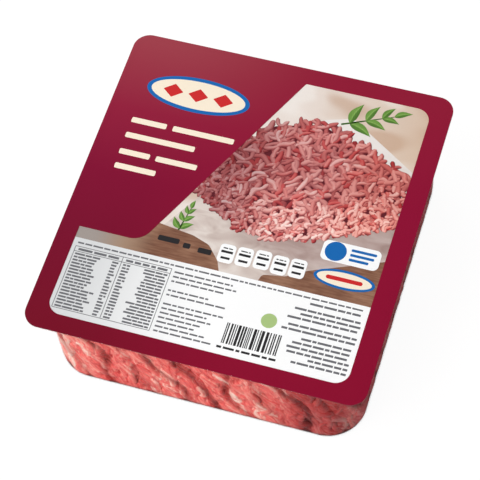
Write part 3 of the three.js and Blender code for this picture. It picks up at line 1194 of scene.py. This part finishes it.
def make_grey_bars():
    """Rows of plain grey bars on the panel: along its top, in a ruled table, and in blocks beside it."""
    draw = random.Random(GREY_SEED)
    bm = bmesh.new()
    left, divider, right, front, back = -60.3, -40.0, -19.5, -62.8, -34.1
    line = 0.26

    def row(start, end, y, height, share=1.0, gap=0.75):
        bar_row(bm, ON_PANEL, draw, start, end, y, height, share, gap)

    row(-60.0, BLOCK_RIGHT, -32.4, 0.72)
    for x in (left, divider, right):
        bar(bm, ON_PANEL, x - line / 2, front, x + line / 2, back)
    for y in (front, back, back - 2.3):
        bar(bm, ON_PANEL, left, y - line / 2, right, y + line / 2)
    row(left + 1.5, divider - 1.5, back - 1.2, 1.0)
    row(divider + 1.5, right - 1.5, back - 1.2, 1.0)
    for step in range(18):
        y = back - 3.4 - 1.43 * step
        share = draw.uniform(0.35, 0.7)
        row(left + 0.8, divider - 5, y, 0.8, share + 0.25, 0.4)
        row(divider - 3.6, divider - 1.0, y, 0.8, gap=0.4)
        row(divider + 1.0, divider + 4.0, y, 0.8, gap=0.4)
        row(right - 12.5 * (share + 0.35), right - 0.8, y, 0.8, gap=0.4)
    rows = ((-35.2, 0.9), (-37.3, 1.0), (-39.4, 0.8), (-43.6, 0.62), (-45.7, 0.9), (-49.8, 0.95))
    for y, share in rows + tuple((-51.9 - 2.05 * step, draw.uniform(0.5, 1.0)) for step in range(6)):
        row(-18.0, 9.0, y, 0.72, share)
    for top, count, width in ((-34.8, 1, 30.0), (-38.0, 3, 33.0), (-45.4, 2, 31.0), (-50.6, 6, 26.0)):
        for step in range(count):
            start = BLOCK_RIGHT - width * draw.uniform(0.6, 1.0)
            row(start, BLOCK_RIGHT, top - 2.1 * step, 0.95, gap=0.5)
    print_piece("print_small", bm, srgb(108, 108, 112), 0.15)


def make_dark_marks():
    """Random upright stripes with a row of bars under them, the cells' bars, and three bars on the board."""
    draw = random.Random(DARK_SEED)
    bm = bmesh.new()
    x = 9.2
    while x < 31.0:
        width = draw.choice((0.4, 0.5, 0.75, 1.1))
        bar(bm, ON_PANEL, x, -60.4, x + width, -51.2)
        x += width + draw.choice((0.3, 0.3, 0.45, 0.7))
    bar_row(bm, ON_PANEL, draw, 8.0, 32.0, -62.2, 0.95)
    for x, y in CELLS:
        bar_row(bm, ON_BADGE, draw, x - 2.0, x + 2.0, y + 2.4, 0.5)
        bar(bm, ON_BADGE, x - 2.4, y + 0.2, x + 2.4, y + 1.3)
        bar(bm, ON_BADGE, x - 1.9, y - 2.6, x + 1.9, y - 1.6)
    for left, right in ((-29.5, -20.5), (-18.6, -15.6), (-12.2, -6.5)):
        y = -21.6 - 0.085 * (left + 29.5)
        box(bm, PANEL_LEVEL + 1, left, y - 1.2, right, y + 1.2, 0.6)
    print_piece("print_dark", bm, srgb(44, 42, 44), 0.15)


def make_colour_marks():
    """The plain oval label with its rim and lozenges, the badge's disc and bars, a small oval with a bar, a
    disc on the panel, and rows of cream bars."""
    blue, red, cream, green = (bmesh.new() for _ in range(4))
    label, oval = TOP_LEVEL + 1, 9
    disc(blue, label, -35.0, 48.0, 22.5, 8.6, 72)
    disc(cream, label + 1, -35.0, 48.0, 20.6, 6.9, 72)
    for x in (-46.0, -35.0, -24.0):
        lozenge = [(x - 4.4, 48.0, 0.3), (x, 44.6, 0.3), (x + 4.4, 48.0, 0.3), (x, 51.4, 0.3)]
        plate(red, label + 2, lozenge)
    disc(blue, ON_BADGE, 41.2, -9.4, 4.4)
    for y, right in ((-7.3, 57.6), (-9.5, 57.0), (-11.7, 55.2)):
        box(blue, ON_BADGE, 47.2, y - 0.6, right, y + 0.6, 0.4)
    disc(blue, oval, 48.0, -21.2, 12.5, 4.3, 56)
    disc(cream, oval + 1, 48.0, -21.2, 11.2, 3.2, 56)
    box(red, oval + 2, 40.5, -22.1, 55.5, -20.3, 0.9)
    disc(green, ON_PANEL + 1, 24.6, -46.3, 3.2)
    for y, spans in CREAM_ROWS:
        for left, right in spans:
            box(cream, label, left, y - 1.3, right, y + 1.3, 0.6)
    print_piece("print_blue", blue, srgb(26, 104, 178), 0.08)
    print_piece("print_red", red, srgb(206, 44, 46), 0.08)
    print_piece("print_cream", cream, srgb(250, 236, 214), 0.08)
    print_piece("print_green", green, srgb(170, 196, 130), 0.08)


# The room
def floor_surface(tree):
    """A pale floor that the camera sees as plain white."""
    plain = add(tree, "BsdfDiffuse", {"Color": (0.55, 0.55, 0.55, 1)})
    shown = add(tree, "BsdfPrincipled", {
        "Base Color": (0.1, 0.1, 0.1, 1), "Roughness": 0.9, "Specular IOR Level": 0.0,
        "Emission Color": WHITE, "Emission Strength": 0.94,
    })
    return shader_mix(tree, add(tree, "LightPath").outputs["Is Camera Ray"], plain, shown)


def make_room():
    """A plain pale floor, a soft bright world, and three soft lamps."""
    bpy.ops.mesh.primitive_plane_add(size=6.0, location=(0, 0, -0.0002))
    floor = bpy.context.object
    floor.name = "floor"
    floor.data.materials.append(surfaced("floor_white", floor_surface))
    scene = bpy.context.scene
    scene.world = bpy.data.worlds.new("studio")
    scene.world.use_nodes = True
    tree = scene.world.node_tree
    tree.nodes.clear()
    inputs = {0: add(tree, "TexCoord").outputs["Generated"], 1: Vector(BRIGHT_SIDE).normalized()}
    towards = add(tree, "VectorMath", inputs, operation="DOT_PRODUCT").outputs["Value"]
    strength = spread(tree, towards, -1.0, 1.0, 0.02, 0.86, smooth=False)
    soft = add(tree, "Background", {"Color": WHITE, "Strength": strength})
    seen = add(tree, "Background", {"Color": WHITE, "Strength": 1.0})
    both = shader_mix(tree, add(tree, "LightPath").outputs["Is Camera Ray"], soft, seen)
    tree.links.new(both, add(tree, "OutputWorld").inputs["Surface"])
    for name, place, size, power in LAMPS:
        light = bpy.data.lights.new(name, "AREA")
        light.size = size
        light.energy = power
        lamp = bpy.data.objects.new(name, light)
        lamp.location = place
        lamp.rotation_euler = (Vector(LAMP_AIM) - Vector(place)).to_track_quat("-Z", "Y").to_euler()
        scene.collection.objects.link(lamp)
    scene.view_settings.view_transform = "Standard"


def make_camera():
    """The photograph's view: from in front and to the right, well above, and rolled a little."""
    azimuth, elevation, roll = (math.radians(angle) for angle in (23.541, 59.45, -7.246))
    distance, slide_right, slide_up = 767.967, 1.598, 12.653
    back = Vector((
        math.sin(azimuth) * math.cos(elevation),
        -math.cos(azimuth) * math.cos(elevation),
        math.sin(elevation),
    ))
    level = Vector((math.cos(azimuth), math.sin(azimuth), 0))
    rise = back.cross(level)
    right = level * math.cos(roll) + rise * math.sin(roll)
    up = rise * math.cos(roll) - level * math.sin(roll)
    place = Vector((0, 0, PACK_HEIGHT)) + back * distance - right * slide_right - up * slide_up
    camera = bpy.data.objects.new("camera", bpy.data.cameras.new("camera"))
    camera.data.lens = 142.5
    camera.data.clip_start = 0.05
    pose = Matrix((right, up, back)).transposed().to_4x4()
    camera.matrix_world = Matrix.Translation(place * MM) @ pose
    bpy.context.scene.collection.objects.link(camera)
    bpy.context.scene.camera = camera


make_camera()
make_room()
make_tray()
meat = surfaced("mince_meat", meat_surface)
make_core(meat)
make_wall_strands(meat)
make_base_strands(meat)
make_film(printed("crimson_film", crimson_ink_and_sheen, 0.06))
make_picture()
make_heap()
make_sprigs()
make_white_fields()
make_grey_bars()
make_dark_marks()
make_colour_marks()
